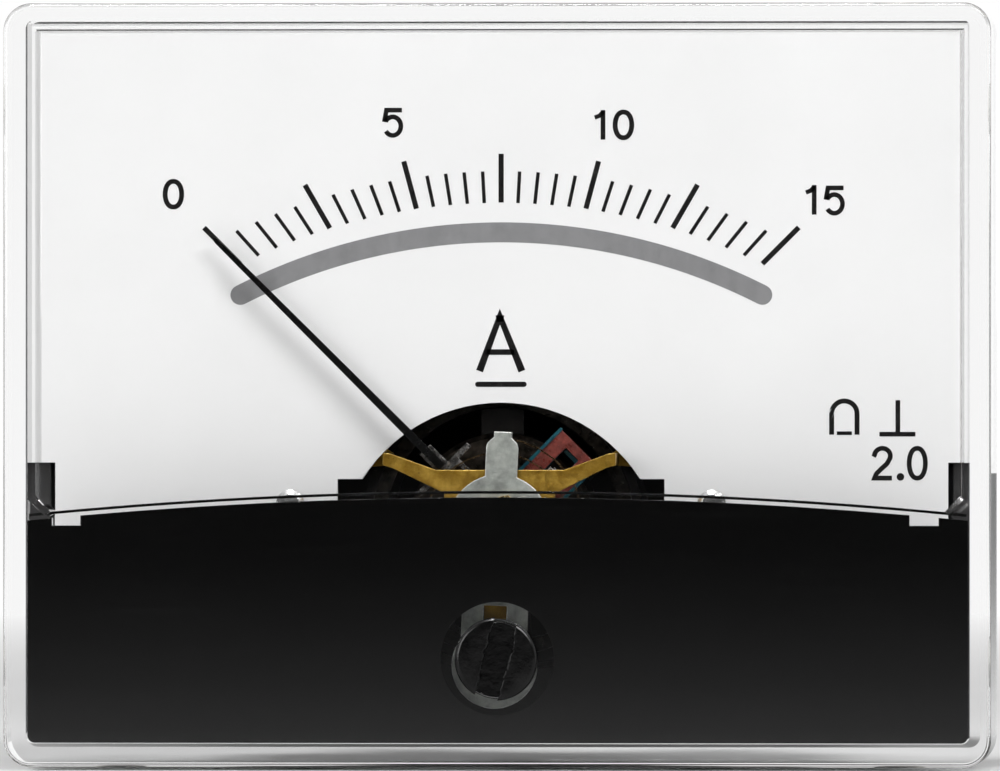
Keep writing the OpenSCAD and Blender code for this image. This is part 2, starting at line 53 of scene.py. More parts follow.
# ---------------------------------------------------------------- camera
AZ = math.radians(2.5)
DIST = 0.9
back = Vector((math.sin(AZ), -math.cos(AZ), 0.0))
right = Vector((math.cos(AZ), math.sin(AZ), 0.0))
cam_data = bpy.data.cameras.new("camera")
cam = bpy.data.objects.new("camera", cam_data)
scene.collection.objects.link(cam)
cam_data.sensor_width = 36.0
cam_data.lens = 14712 * 36.0 / 1000.0
cam_data.clip_start, cam_data.clip_end = 0.05, 20.0
cam.location = back * DIST + right * (-0.365 * MM) + Vector((0, 0, -0.02 * MM))
cam.rotation_mode = "QUATERNION"
cam.rotation_quaternion = (-back).to_track_quat("-Z", "Y")
scene.camera = cam
scene.view_settings.view_transform = "Standard"
scene.cycles.max_bounces = 20
scene.cycles.glossy_bounces = 14
scene.cycles.transmission_bounces = 20
scene.cycles.transparent_max_bounces = 24
scene.cycles.caustics_reflective = False


# ---------------------------------------------------------------- node helpers
class Tree:
    """Short names for building one material's nodes."""

    def __init__(self, name):
        self.mat = bpy.data.materials.new(name)
        self.mat.use_nodes = True
        self.t = self.mat.node_tree
        self.t.nodes.clear()
        self.out = self.t.nodes.new("ShaderNodeOutputMaterial")

    def n(self, kind, **props):
        node = self.t.nodes.new(kind)
        for k, v in props.items():
            setattr(node, k, v)
        return node

    def link(self, a, b):
        self.t.links.new(a, b)

    def coords(self, scale=(1, 1, 1), rot=(0, 0, 0)):
        c = self.n("ShaderNodeTexCoord")
        m = self.n("ShaderNodeMapping")
        m.inputs["Scale"].default_value = scale
        m.inputs["Rotation"].default_value = rot
        self.link(c.outputs["Object"], m.inputs["Vector"])
        return m.outputs["Vector"]

    def noise(self, vec, scale, detail=4.0, rough=0.55, distortion=0.0):
        x = self.n("ShaderNodeTexNoise")
        x.inputs["Scale"].default_value = scale
        x.inputs["Detail"].default_value = detail
        x.inputs["Roughness"].default_value = rough
        x.inputs["Distortion"].default_value = distortion
        self.link(vec, x.inputs["Vector"])
        return x.outputs["Fac"]

    def ramp(self, fac, stops, interpolation="LINEAR"):
        x = self.n("ShaderNodeValToRGB")
        x.color_ramp.interpolation = interpolation
        el = x.color_ramp.elements
        while len(el) < len(stops):
            el.new(0.5)
        for e, (p, c) in zip(el, stops):
            e.position = p
            e.color = (*c, 1) if len(c) == 3 else c
        self.link(fac, x.inputs["Fac"])
        return x.outputs["Color"]

    def map(self, fac, a, b, c, d):
        x = self.n("ShaderNodeMapRange")
        for i, v in enumerate((a, b, c, d)):
            x.inputs[i + 1].default_value = v
        self.link(fac, x.inputs[0])
        return x.outputs[0]

    def mix(self, fac, a, b, blend="MIX"):
        x = self.n("ShaderNodeMix", data_type="RGBA", blend_type=blend)
        for sock, v in ((x.inputs[0], fac), (x.inputs[6], a), (x.inputs[7], b)):
            if hasattr(v, "is_linked") or hasattr(v, "links"):
                self.link(v, sock)
            elif isinstance(v, (tuple, list)):
                sock.default_value = (*v, 1) if len(v) == 3 else v
            else:
                sock.default_value = v
        return x.outputs[2]

    def math(self, op, a, b=None):
        x = self.n("ShaderNodeMath", operation=op)
        for sock, v in zip(x.inputs, (a, b)):
            if v is None:
                continue
            if hasattr(v, "links"):
                self.link(v, sock)
            else:
                sock.default_value = v
        return x.outputs[0]

    def bump(self, height, dist, strength=1.0, normal=None):
        x = self.n("ShaderNodeBump")
        x.inputs["Strength"].default_value = strength
        x.inputs["Distance"].default_value = dist
        self.link(height, x.inputs["Height"])
        if normal is not None:
            self.link(normal, x.inputs["Normal"])
        return x.outputs["Normal"]

    def edges(self, radius):
        x = self.n("ShaderNodeBevel")
        x.samples = 6
        x.inputs["Radius"].default_value = radius
        return x.outputs["Normal"]

    def principled(self, **values):
        p = self.n("ShaderNodeBsdfPrincipled")
        for k, v in values.items():
            s = p.inputs[k.replace("_", " ")]
            if hasattr(v, "links"):
                self.link(v, s)
            elif isinstance(v, (tuple, list)):
                s.default_value = (*v, 1) if len(v) == 3 else v
            else:
                s.default_value = v
        return p

    def done(self, shader):
        self.link(shader.outputs[0], self.out.inputs["Surface"])
        return self.mat


def metal(name, c0, c1, rough=(0.25, 0.4), scale=900, grain=3500, streak=None,
          bump=0.000004, edge=0.00005, metallic=1.0, spots=None):
    t = Tree(name)
    v = t.coords(streak or (1, 1, 1))
    big = t.noise(v, scale, 5)
    fine = t.noise(v, grain, 3)
    col = t.ramp(big, [(0.32, c0), (0.68, c1)])
    if spots:
        m = t.noise(t.coords(), spots[1], 6, 0.7)
        col = t.mix(t.map(m, 0.55, 0.68, 0.0, 0.75), col, spots[0])
    r = t.map(fine, 0.3, 0.7, *rough)
    nrm = t.bump(fine, bump, 0.6, t.edges(edge) if edge else None)
    return t.done(t.principled(Base_Color=col, Metallic=metallic, Roughness=r, Normal=nrm))


def plastic(name, c0, c1, rough=(0.25, 0.35), scale=500, grain=4000, bump=0.000006,
            edge=0.00008, coat=0.0, spec=0.5):
    t = Tree(name)
    v = t.coords()
    col = t.ramp(t.noise(v, scale, 5), [(0.3, c0), (0.7, c1)])
    fine = t.noise(v, grain, 3)
    nrm = t.bump(fine, bump, 0.5, t.edges(edge) if edge else None)
    p = t.principled(Base_Color=col, Roughness=t.map(fine, 0.3, 0.7, *rough), Normal=nrm)
    p.inputs["Coat Weight"].default_value = coat
    p.inputs["Specular IOR Level"].default_value = spec
    return t.done(p)


# ---------------------------------------------------------------- mesh helpers
def finish_mesh(ob, mat, body, smooth=35.0):
    ob.data.materials.clear()
    ob.data.materials.append(mat)
    if smooth:
        for p in ob.data.polygons:
            p.use_smooth = True
        ob.data.set_sharp_from_angle(angle=math.radians(smooth))
    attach(ob, body)
    return ob


def new_object(name, bm):
    bmesh.ops.recalc_face_normals(bm, faces=bm.faces)
    me = bpy.data.meshes.new(name)
    bm.to_mesh(me)
    bm.free()
    ob = bpy.data.objects.new(name, me)
    scene.collection.objects.link(ob)
    return ob


def add_prism(bm, pts, y0, y1):
    """A closed solid with the outline pts (x, z) in mm, from y0 to y1 in mm."""
    a = [bm.verts.new((x * MM, y0 * MM, z * MM)) for x, z in pts]
    b = [bm.verts.new((x * MM, y1 * MM, z * MM)) for x, z in pts]
    n = len(pts)
    bm.faces.new(a)
    bm.faces.new(b[::-1])
    for i in range(n):
        j = (i + 1) % n
        bm.faces.new((a[j], a[i], b[i], b[j]))


def prism(name, pts, y0, y1):
    bm = bmesh.new()
    add_prism(bm, pts, y0, y1)
    return new_object(name, bm)


def loft(name, rings):
    """A closed solid through rings of points (x, y, z) in mm, all with the same count."""
    bm = bmesh.new()
    rows = [[bm.verts.new((x * MM, y * MM, z * MM)) for x, y, z in r] for r in rings]
    n = len(rows[0])
    for a, b in zip(rows, rows[1:]):
        for i in range(n):
            j = (i + 1) % n
            bm.faces.new((a[i], a[j], b[j], b[i]))
    bm.faces.new(rows[0][::-1])
    bm.faces.new(rows[-1])
    return new_object(name, bm)


def rounded(x0, z0, x1, z1, r, n=10):
    pts = []
    for cx, cz, a0 in ((x1 - r, z1 - r, 0), (x0 + r, z1 - r, 90), (x0 + r, z0 + r, 180), (x1 - r, z0 + r, 270)):
        for i in range(n + 1):
            a = math.radians(a0 + 90 * i / n)
            pts.append((cx + r * math.cos(a), cz + r * math.sin(a)))
    return pts


def circle(cx, cz, r, n=64):
    return [(cx + r * math.cos(2 * math.pi * i / n), cz + r * math.sin(2 * math.pi * i / n)) for i in range(n)]


def turned(name, profile, cx=0.0, cz=0.0, n=64, closed_axis=True):
    """A body of revolution about +Y from a profile of (r, y), both ends on the axis or closed by a disc."""
    return loft(name, [[(cx + r * math.cos(2 * math.pi * i / n), y, cz + r * math.sin(2 * math.pi * i / n)) for i in range(n)]
                       for r, y in profile])


def boolean(ob, other, op):
    m = ob.modifiers.new("b", "BOOLEAN")
    m.operation, m.solver, m.object = op, "EXACT", other
    dg = bpy.context.evaluated_depsgraph_get()
    me = bpy.data.meshes.new_from_object(ob.evaluated_get(dg))
    ob.modifiers.clear()
    old = ob.data
    ob.data = me
    bpy.data.meshes.remove(old)
    bpy.data.objects.remove(other)
    return ob


def weighted(ob):
    m = ob.modifiers.new("w", "WEIGHTED_NORMAL")
    m.weight, m.keep_sharp = 100, True
    dg = bpy.context.evaluated_depsgraph_get()
    me = bpy.data.meshes.new_from_object(ob.evaluated_get(dg))
    ob.modifiers.clear()
    ob.data = me


def stroke(bm, pts, w, y0, y1, closed=False, round_ends=False):
    """A flat line of width w along pts (x, z) in mm, as a closed solid."""
    P = [Vector(p) for p in pts]
    n = len(P)
    L, R = [], []
    for i in range(n):
        a = P[i - 1] if (i > 0 or closed) else P[i]
        b = P[(i + 1) % n] if (i < n - 1 or closed) else P[i]
        d0 = (P[i] - a).normalized() if (P[i] - a).length > 1e-9 else None
        d1 = (b - P[i]).normalized() if (b - P[i]).length > 1e-9 else None
        d0 = d0 or d1
        d1 = d1 or d0
        t = (d0 + d1)
        t = t.normalized() if t.length > 1e-6 else d0
        nrm = Vector((-t.y, t.x))
        k = 1.0 / max(0.45, nrm.dot(Vector((-d0.y, d0.x))))
        L.append(P[i] + nrm * (w / 2 * k))
        R.append(P[i] - nrm * (w / 2 * k))
    if closed:
        rows = []
        for pt in zip(L, R):
            rows.append([bm.verts.new((q.x * MM, y * MM, q.y * MM)) for y in (y0, y1) for q in pt])
        m = len(rows)
        for i in range(m):
            a, b = rows[i], rows[(i + 1) % m]
            bm.faces.new((a[0], b[0], b[1], a[1]))
            bm.faces.new((a[2], a[3], b[3], b[2]))
            bm.faces.new((a[0], a[2], b[2], b[0]))
            bm.faces.new((a[1], b[1], b[3], a[3]))
        return
    cap0, cap1 = [], []
    if round_ends:
        for (c, q, sign, cap) in ((P[0], P[1], 1, cap0), (P[-1], P[-2], -1, cap1)):
            d = (c - q).normalized()
            a0 = math.atan2(d.y, d.x)
            for i in range(1, 12):
                a = a0 + math.radians(-90 + 15 * i) if True else 0
                cap.append(c + Vector((math.cos(a), math.sin(a))) * (w / 2))
    outline = L + cap1[::-1] + R[::-1] + cap0[::-1]
    add_prism(bm, [(q.x, q.y) for q in outline], y0, y1)


def arc(cx, cz, r, a0, a1, n=24, rz=None):
    rz = rz or r
    return [(cx + r * math.cos(math.radians(a0 + (a1 - a0) * i / n)),
             cz + rz * math.sin(math.radians(a0 + (a1 - a0) * i / n))) for i in range(n + 1)]


# ================================================================= clear cover
def build_cover():
    cr, er, do, di = 1.9, 0.3, 0.2, 0.55
    hx, hz = 30.0, 23.25
    rings = []
    rings.append([(x, 0.0, z) for x, z in rounded(-hx, -hz, hx, hz, cr, 14)])
    steps = 8
    for k in range(steps, -1, -1):
        a = math.radians(90 * k / steps)
        ins = er * (1 - math.sin(a)) + do
        dep = er * (1 - math.cos(a))
        rings.append([(x, Y_FRONT + dep, z) for x, z in rounded(-hx + ins, -hz + ins, hx - ins, hz - ins, cr - ins, 14)])
    rings = [rings[0]] + rings[1:]
    # the rings run from the back to the front edge
    order = [rings[0]]
    for k in range(0, steps + 1):
        a = math.radians(90 * k / steps)
        ins = er * (1 - math.cos(a)) + do
        dep = er * (1 - math.sin(a))
        order.append([(x, Y_FRONT + dep, z) for x, z in rounded(-hx + ins, -hz + ins, hx - ins, hz - ins, cr - ins, 14)])
    body = loft("cover_shell", order)
    yi = Y_IN - 0.015
    g = 1.0
    mouth = lambda y: (y - Y_IN) / 12.0
    def cav(y):
        f = mouth(y)
        return [(x, y, z) for x, z in rounded(-CAV_X - di * f, CAV_B - di * 0.7 * f, CAV_X + di * f, CAV_T + di * 0.6 * f, 0.5 + 0.2 * f, 8)]
    pocket = loft("pocket", [cav(yi), cav(1.0)])
    boolean(body, pocket, "DIFFERENCE")
    # window frame rib, its free end bevelled on both sides
    out_pts = [(-28.4, 21.8), (28.4, 21.8), (28.4, -6.9), (27.35, -7.9), (26.9, -7.6), (-26.9, -7.6), (-27.35, -7.9), (-28.4, -6.9)]
    in_pts = [(-27.9, 21.35), (27.9, 21.35), (27.9, -6.65), (26.95, -7.65), (26.5, -9), (-26.5, -9), (-26.95, -7.65), (-27.9, -6.65)]
    mid = (0.0, 7.0)

    def grow(pts, d):
        """Points moved by d away from the window's middle, along both axes."""
        return [(x + math.copysign(d, x - mid[0]), z + math.copysign(d, z - mid[1])) for x, z in pts]

    def ring(pts, y):
        return [(x, y, z) for x, z in pts]
    ye = Y_DIAL - 0.1
    outer = loft("rib", [ring(out_pts, Y_IN - 0.1), ring(out_pts, ye - 0.17), ring(grow(out_pts, -0.17), ye)])
    inner = loft("rib_in", [ring(grow(in_pts, -0.02), Y_IN - 0.5), ring(grow(in_pts, 0.06), ye - 0.17), ring(grow(in_pts, 0.23), ye), ring(grow(in_pts, 0.23), ye + 0.5)])
    boolean(outer, inner, "DIFFERENCE")
    boolean(body, outer, "UNION")
    # rib along the arch, with its two tabs
    top = []
    n = 90
    for i in range(n + 1):
        x = 28.3 - 56.6 * i / n
        top.append((x, ARCH_C + math.sqrt((ARCH_R + 0.2) ** 2 - x * x)))
    def zb(x):
        return ARCH_C + math.sqrt(ARCH_R ** 2 - x * x)
    bottom = []
    xs = [-28.3 + 56.6 * i / n for i in range(n + 1)]
    tabs = [(-26.9, -25.2), (24.9, 26.6)]
    for x in xs:
        if any(a - 0.01 < x < b + 0.01 for a, b in tabs):
            continue
        for a, b in tabs:
            if bottom and bottom[-1][0] < a < x:
                bottom += [(a, zb(a)), (a, -8.45), (b, -8.45), (b, zb(b))]
        bottom.append((x, zb(x)))
    arch = prism("arch_rib", top + bottom, Y_IN - 0.1, Y_MASK)
    boolean(body, arch, "UNION")
    # the small fillet where the arch rib meets the front, slanted so that it catches the light from above
    low, high = [], []
    fil = []
    m = 120
    for i in range(m + 1):
        x = -28.3 + 56.6 * i / m
        zt = ARCH_C + math.sqrt((ARCH_R + 0.2) ** 2 - x * x)
        fil.append([(x, Y_IN - 0.1, zt - 0.05), (x, Y_IN - 0.1, zt + 0.17), (x, Y_IN, zt + 0.17), (x, Y_IN + 0.17, zt), (x, Y_IN + 0.17, zt - 0.05)])
    boolean(body, loft("arch_fillet", fil), "UNION")
    hole = turned("hole", [(2.36, Y_FRONT - 1.0), (2.36, Y_FRONT), (2.3, Y_FRONT + 0.06), (2.3, Y_IN + 0.5)], 0, ADJ, 96)
    boolean(body, hole, "DIFFERENCE")
    bm = bmesh.new()
    bm.from_mesh(body.data)
    bmesh.ops.remove_doubles(bm, verts=bm.verts, dist=2e-7)
    bmesh.ops.recalc_face_normals(bm, faces=bm.faces)
    bm.to_mesh(body.data)
    bm.free()
    body.name = "clear_cover"
    return body


def clear_material():
    t = Tree("clear_plastic")
    v = t.coords()
    wave = t.noise(v, 60, 2)
    nrm = t.bump(wave, 0.000012, 0.12)
    p = t.principled(Base_Color=(0.99, 0.99, 0.99), Roughness=0.012, IOR=1.49, Normal=nrm)
    p.inputs["Transmission Weight"].default_value = 1.0
    clear = t.n("ShaderNodeBsdfTransparent")
    clear.inputs[0].default_value = (0.985, 0.985, 0.985, 1)
    lp = t.n("ShaderNodeLightPath")
    fac = t.math("MAXIMUM", lp.outputs["Is Shadow Ray"], lp.outputs["Is Diffuse Ray"])
    mx = t.n("ShaderNodeMixShader")
    t.link(fac, mx.inputs[0])
    t.link(p.outputs[0], mx.inputs[1])
    t.link(clear.outputs[0], mx.inputs[2])
    return t.done(mx)


cover = build_cover()
finish_mesh(cover, clear_material(), "case", 30)
weighted(cover)
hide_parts("front_cover")


# ================================================================= printing
M_PRINT = Tree("dial_ink_black")
_v = M_PRINT.coords()
M_PRINT = M_PRINT.done(M_PRINT.principled(
    Base_Color=M_PRINT.ramp(M_PRINT.noise(_v, 2500, 4), [(0.3, (0.006, 0.006, 0.006)), (0.75, (0.017, 0.016, 0.0155))]),
    Roughness=0.35, Specular_IOR_Level=0.12))
M_BAND = Tree("dial_ink_grey")
_v = M_BAND.coords((1, 1, 1))
_c = M_BAND.ramp(M_BAND.noise(_v, 1500, 6, 0.7), [(0.3, (0.175, 0.175, 0.180)), (0.7, (0.225, 0.225, 0.230))])
_r = M_BAND.coords((1.0, 1.0, 0.08))
_c = M_BAND.mix(M_BAND.map(M_BAND.noise(_r, 1400, 3), 0.35, 0.65, 0.0, 0.35), _c, (0.26, 0.26, 0.265))
M_BAND = M_BAND.done(M_BAND.principled(Base_Color=_c, Roughness=0.5))

Y0, Y1 = Y_DIAL - 0.012, Y_DIAL + 0.004
KD = 16.462            # size of one mm at the dial, for the layout below
DX, DZ = 501.0, 525.0   # the layout's own origin is the pivot


def P(x, z):
    """A point of the dial's layout, in its own units from the pivot, as mm."""
    return ((x - DX) / KD, PIV + (DZ - z) / KD)


def polar(deg, r):
    a = math.radians(deg)
    return (r * math.sin(a), PIV + r * math.cos(a))


def build_print():
    bm = bmesh.new()
    # scale: 30 divisions over 90 degrees of swing, set out on flattened arcs
    def on_arc(deg, R, zc):
        """The point at this angle from the pivot that lies on the arc of radius R about (0, zc)."""
        a = math.radians(deg)
        dx, dz = math.sin(a), math.cos(a)
        h = PIV - zc
        b = h * dz
        s = -b + math.sqrt(b * b - (h * h - R * R))
        return (s * dx, PIV + s * dz)
    for i in range(31):
        deg = -45 + 3 * i
        major = i % 5 == 0
        if major:
            a, b, w = on_arc(deg, 38.72, -24.67), on_arc(deg, 35.62, -24.53), 0.315
        else:
            a, b, w = on_arc(deg, 37.66, -24.67), on_arc(deg, 35.60, -24.53), 0.215
        stroke(bm, [a, b], w, Y0, Y1)
    S = 1.0 / KD
    def g(pts, w, closed=False):
        stroke(bm, [P(x, z) for x, z in pts], w * S, Y0, Y1, closed)
    def zero(cx, cy, w, h, sw):
        g([(cx + (w - sw) / 2 * math.cos(a) * (abs(math.cos(a)) ** -0.12 if abs(math.cos(a)) > 1e-6 else 1),
            cy + (h - sw) / 2 * math.sin(a)) for a in [2 * math.pi * i / 48 for i in range(48)]], sw, True)
    def five(cx, cy, w, h, sw):
        x0, x1, y0, y1 = cx - w / 2, cx + w / 2, cy - h / 2, cy + h / 2
        r = h * 0.315
        g([(x1 - w * 0.06, y0 + sw / 2), (x0 + w * 0.20, y0 + sw / 2), (x0 + w * 0.10, cy - h * 0.02)], sw)
        ccy = y1 - sw / 2 - r + sw * 0.1
        rx = (w - sw) / 2
        pts = [(cx + rx * math.cos(math.radians(t)) , ccy + r * math.sin(math.radians(t))) for t in range(-150, 156, 9)]
        g(pts, sw)
    def one(cx, cy, w, h, sw):
        y0, y1 = cy - h / 2, cy + h / 2
        xs = cx + w * 0.18
        g([(xs, y1), (xs, y0)], sw)
        g([(xs, y0 + h * 0.06), (xs - w * 0.22, y0 + h * 0.19), (xs - w * 0.52, y0 + h * 0.25)], sw * 0.92)
    zero(172.8, 194, 21.5, 30.5, 4.9)
    five(392.5, 122.5, 21, 29.5, 4.7)
    one(600, 125, 16, 29.5, 4.7)
    zero(623.3, 125, 21.5, 30.5, 4.9)
    one(811, 200, 16, 29.5, 4.7)
    five(834, 200.5, 21, 29.5, 4.7)
    # unit sign with its line below
    g([(479.4, 371), (499.75, 316.5), (521.8, 371)], 7.2)
    add_prism(bm, [P(x, z) for x, z in [(495.4, 315.2), (504.2, 315.2), (503.0, 322), (496.6, 322)]], Y0, Y1)
    g([(486.5, 352), (514.5, 352)], 5.6)
    stroke(bm, [P(477.6, 384.2), P(523.9, 384.2)], 5.2 * S, Y0, Y1, round_ends=True)
    # moving coil and position symbols
    g([(831.3, 434.5), (831.3, 413)] + [(844 + 12.7 * math.cos(math.radians(t)), 413.5 - 12.7 * math.sin(math.radians(t))) for t in range(180, -1, -10)] + [(856.7, 434.5)], 4.9)
    g([(836.5, 433), (851.5, 433)], 3.6)
    g([(897.4, 432), (897.4, 400)], 4.7)
    g([(879, 434), (915, 434)], 4.6)
    # accuracy class, a plain number
    add_prism(bm, [P(900.0 + 3.8 * math.cos(t), 476.6 + 3.8 * math.sin(t)) for t in [2 * math.pi * i / 24 for i in range(24)]], Y0, Y1)
    two = [(873.2, 456.5)]
    two += [(882 + 7.9 * math.cos(math.radians(t)), 455.6 - 7.5 * math.sin(math.radians(t))) for t in range(172, -31, -10)]
    two += [(886.5, 463.5), (881.0, 468.5), (876.0, 473.4), (874.2, 477.8), (891.5, 477.8)]
    g(two, 4.8)
    zero(916.8, 463, 21.0, 34.5, 4.8)
    ob = new_object("dial_print", bm)
    return ob


dial_print = build_print()
finish_mesh(dial_print, M_PRINT, "case", 0)

bm = bmesh.new()
_half = math.degrees(math.asin(((762.5 - 237) / 2 / KD - 0.1) / 35.0))
stroke(bm, [(35.0 * math.sin(math.radians(_half * (2 * i / 60 - 1))), -25.72 + 35.0 * math.cos(math.radians(_half * (2 * i / 60 - 1)))) for i in range(61)],
       1.21, Y0 + 0.004, Y1, round_ends=True)
band = new_object("dial_band", bm)
finish_mesh(band, M_BAND, "case", 0)


# ================================================================= materials
def dial_material():
    t = Tree("dial_lacquer")
    v = t.coords()
    col = t.ramp(t.noise(v, 90, 5), [(0.3, (0.80, 0.80, 0.80)), (0.7, (0.835, 0.835, 0.835))])
    fine = t.noise(v, 5200, 3)
    nrm = t.bump(fine, 0.000008, 0.35)
    return t.done(t.principled(Base_Color=col, Roughness=t.map(fine, 0.3, 0.7, 0.5, 0.62), Normal=nrm))


def mask_material():
    t = Tree("mask_gloss_black")
    v = t.coords()
    dust = t.n("ShaderNodeTexVoronoi", feature="F1")
    dust.inputs["Scale"].default_value = 900
    t.link(v, dust.inputs["Vector"])
    speck = t.map(dust.outputs["Distance"], 0.0, 0.10, 1.0, 0.0)
    pick = t.map(t.noise(v, 700, 2), 0.60, 0.72, 0.0, 1.0)
    cloud = t.map(t.noise(v, 120, 6, 0.65), 0.45, 0.8, 0.0, 1.0)
    sx = t.coords((0.05, 1, 1))
    streak = t.map(t.noise(sx, 2600, 4, 0.6), 0.52, 0.75, 0.0, 0.6)
    base = t.mix(t.math("MULTIPLY", speck, pick), (0.0007, 0.0007, 0.0007), (0.022, 0.022, 0.022))
    base = t.mix(t.math("MULTIPLY", streak, 0.5), base, (0.0028, 0.0028, 0.0028))
    base = t.mix(t.math("MULTIPLY", cloud, 0.5), base, (0.0016, 0.0016, 0.0016))
    nrm = t.bump(t.noise(v, 1800, 4), 0.000006, 0.3, t.edges(0.00008))
    p = t.principled(Base_Color=base, Roughness=t.map(streak, 0, 0.6, 0.09, 0.16), Normal=nrm)
    p.inputs["Specular IOR Level"].default_value = 0.45
    return t.done(p)


def set_mat(node, mat):
    ob = N[node]
    ob.data.materials.clear()
    ob.data.materials.append(mat)


MATS = {
    "dial_plate": dial_material(),
    "lower_mask": mask_material(),
    "zero_adjuster": plastic("adjuster_black", (0.0015, 0.0015, 0.0015), (0.006, 0.006, 0.006), (0.10, 0.24), 900, 2200, 0.00003, 0.00004),
    "base_housing": plastic("moulded_black", (0.010, 0.010, 0.0105), (0.022, 0.021, 0.021), (0.30, 0.46), 260, 3600, 0.00001, 0.00018),
    "cover_screws": metal("zinc_plated", (0.50, 0.50, 0.49), (0.66, 0.66, 0.64), (0.22, 0.38), 700, 3000),
    "panel_studs": metal("stud_zinc", (0.52, 0.51, 0.47), (0.68, 0.67, 0.62), (0.22, 0.36), 800, 3000),
    "dial_screws": metal("screw_bright", (0.72, 0.72, 0.72), (0.86, 0.86, 0.86), (0.14, 0.28), 1500, 5000),
    "movement_chassis": metal("die_cast_dark", (0.0022, 0.0020, 0.0018), (0.008, 0.007, 0.006), (0.40, 0.55), 1100, 3500, bump=0.00003, metallic=0.75),
    "chassis_screws": metal("zinc_screw", (0.42, 0.42, 0.41), (0.56, 0.56, 0.54), (0.25, 0.4), 900, 3000),
    "yoke_ring": metal("yoke_iron", (0.012, 0.011, 0.010), (0.050, 0.045, 0.038), (0.24, 0.42), 1600, 3600, bump=0.00003),
    "core_magnet": metal("core_iron", (0.012, 0.010, 0.008), (0.075, 0.062, 0.050), (0.26, 0.45), 1500, 3600, bump=0.00004, spots=((0.004, 0.0035, 0.003), 1900)),
    "bridge_screws": metal("screw_black", (0.03, 0.03, 0.03), (0.06, 0.06, 0.06), (0.3, 0.45), 1200, 4000),
    "shunt": metal("shunt_alloy", (0.42, 0.25, 0.17), (0.56, 0.36, 0.25), (0.28, 0.42), 500, 2600, (1, 1, 0.1)),
    "terminal_studs": metal("brass_turned", (0.60, 0.42, 0.17), (0.75, 0.56, 0.26), (0.18, 0.34), 500, 3000),
    "terminal_nuts": metal("brass_nut", (0.62, 0.44, 0.18), (0.78, 0.58, 0.27), (0.18, 0.32), 420, 2600),
    "terminal_washers": metal("brass_washer", (0.60, 0.44, 0.19), (0.76, 0.58, 0.28), (0.22, 0.36), 420, 2600),
    "lock_washers": metal("spring_steel", (0.38, 0.38, 0.38), (0.52, 0.52, 0.51), (0.24, 0.38), 700, 3200),
    "solder_tags": metal("tinned", (0.66, 0.64, 0.56), (0.82, 0.80, 0.72), (0.22, 0.42), 520, 2400, bump=0.00001),
    "front_jewel_screw": metal("jewel_screw_brass", (0.60, 0.44, 0.19), (0.72, 0.54, 0.25), (0.2, 0.34), 1200, 4000),
    "front_lock_nut": metal("lock_nut_brass", (0.56, 0.41, 0.18), (0.70, 0.52, 0.24), (0.2, 0.34), 1200, 4000),
    "rear_spring_tab": metal("tab_brass", (0.58, 0.42, 0.18), (0.70, 0.52, 0.24), (0.24, 0.36), 1200, 4000),
    "front_hairspring": metal("hairspring_bronze", (0.10, 0.062, 0.030), (0.22, 0.14, 0.07), (0.2, 0.34), 2500, 6000, edge=0),
    "pointer": plastic("pointer_black", (0.002, 0.002, 0.002), (0.006, 0.006, 0.006), (0.18, 0.28), 1500, 6000, 0.000004, 0.00002, spec=0.2),
    "balance_cross": metal("cross_alloy", (0.09, 0.085, 0.08), (0.42, 0.41, 0.40), (0.16, 0.36), 2200, 4200, bump=0.00004, edge=0.00004),
    "balance_weights": metal("weight_wire", (0.60, 0.58, 0.54), (0.80, 0.79, 0.76), (0.18, 0.34), 1800, 5200, edge=0.00005),
    "pivot_front": metal("pivot_steel", (0.55, 0.55, 0.55), (0.7, 0.7, 0.7), (0.14, 0.26), 1500, 5000),
    "coil_former": metal("former_teal", (0.004, 0.055, 0.080), (0.010, 0.120, 0.150), (0.28, 0.45), 1500, 5200, metallic=0.35, edge=0.00003),
    "lead_wire_front": plastic("lead_red", (0.30, 0.02, 0.015), (0.42, 0.035, 0.02), (0.35, 0.5), 900, 3000, edge=0),
    "lead_wire_rear": plastic("lead_black", (0.012, 0.012, 0.012), (0.03, 0.03, 0.03), (0.35, 0.5), 900, 3000, edge=0),
}
for a, b in (("rear_jewel_screw", "front_jewel_screw"), ("rear_lock_nut", "front_lock_nut"),
             ("rear_hairspring", "front_hairspring"), ("pivot_rear", "pivot_front")):
    MATS[a] = MATS[b]


def edge_highlight_mask(t, radius, lo=0.02, hi=0.16):
    """0 on flat faces, 1 on edges, and the rounded normal; the mask for painted edge highlights."""
    nrm = t.edges(radius)
    geo = t.n("ShaderNodeNewGeometry")
    dot = t.n("ShaderNodeVectorMath", operation="DOT_PRODUCT")
    t.link(nrm, dot.inputs[0])
    t.link(geo.outputs["Normal"], dot.inputs[1])
    return t.map(dot.outputs["Value"], 1.0 - lo, 1.0 - hi, 0.0, 1.0), nrm


def bridge_material():
    """Stamped brass, dull and mottled, with a painted highlight: lighter brass mixed in on its bends and edges."""
    t = Tree("bridge_brass")
    v = t.coords()
    col = t.ramp(t.noise(v, 900, 8, 0.68), [(0.28, (0.20, 0.105, 0.010)), (0.5, (0.38, 0.22, 0.028)), (0.72, (0.62, 0.40, 0.075))])
    edge, en = edge_highlight_mask(t, 0.00007)
    # painted highlight: lighter brass mixed in along the edges
    col = t.mix(t.math("MULTIPLY", edge, 0.5), col, (0.80, 0.60, 0.22))
    fine = t.noise(v, 2600, 7, 0.68)
    nrm = t.bump(fine, 0.00004, 0.6, en)
    return t.done(t.principled(Base_Color=col, Metallic=0.92, Roughness=t.map(fine, 0.3, 0.7, 0.26, 0.46), Normal=nrm))


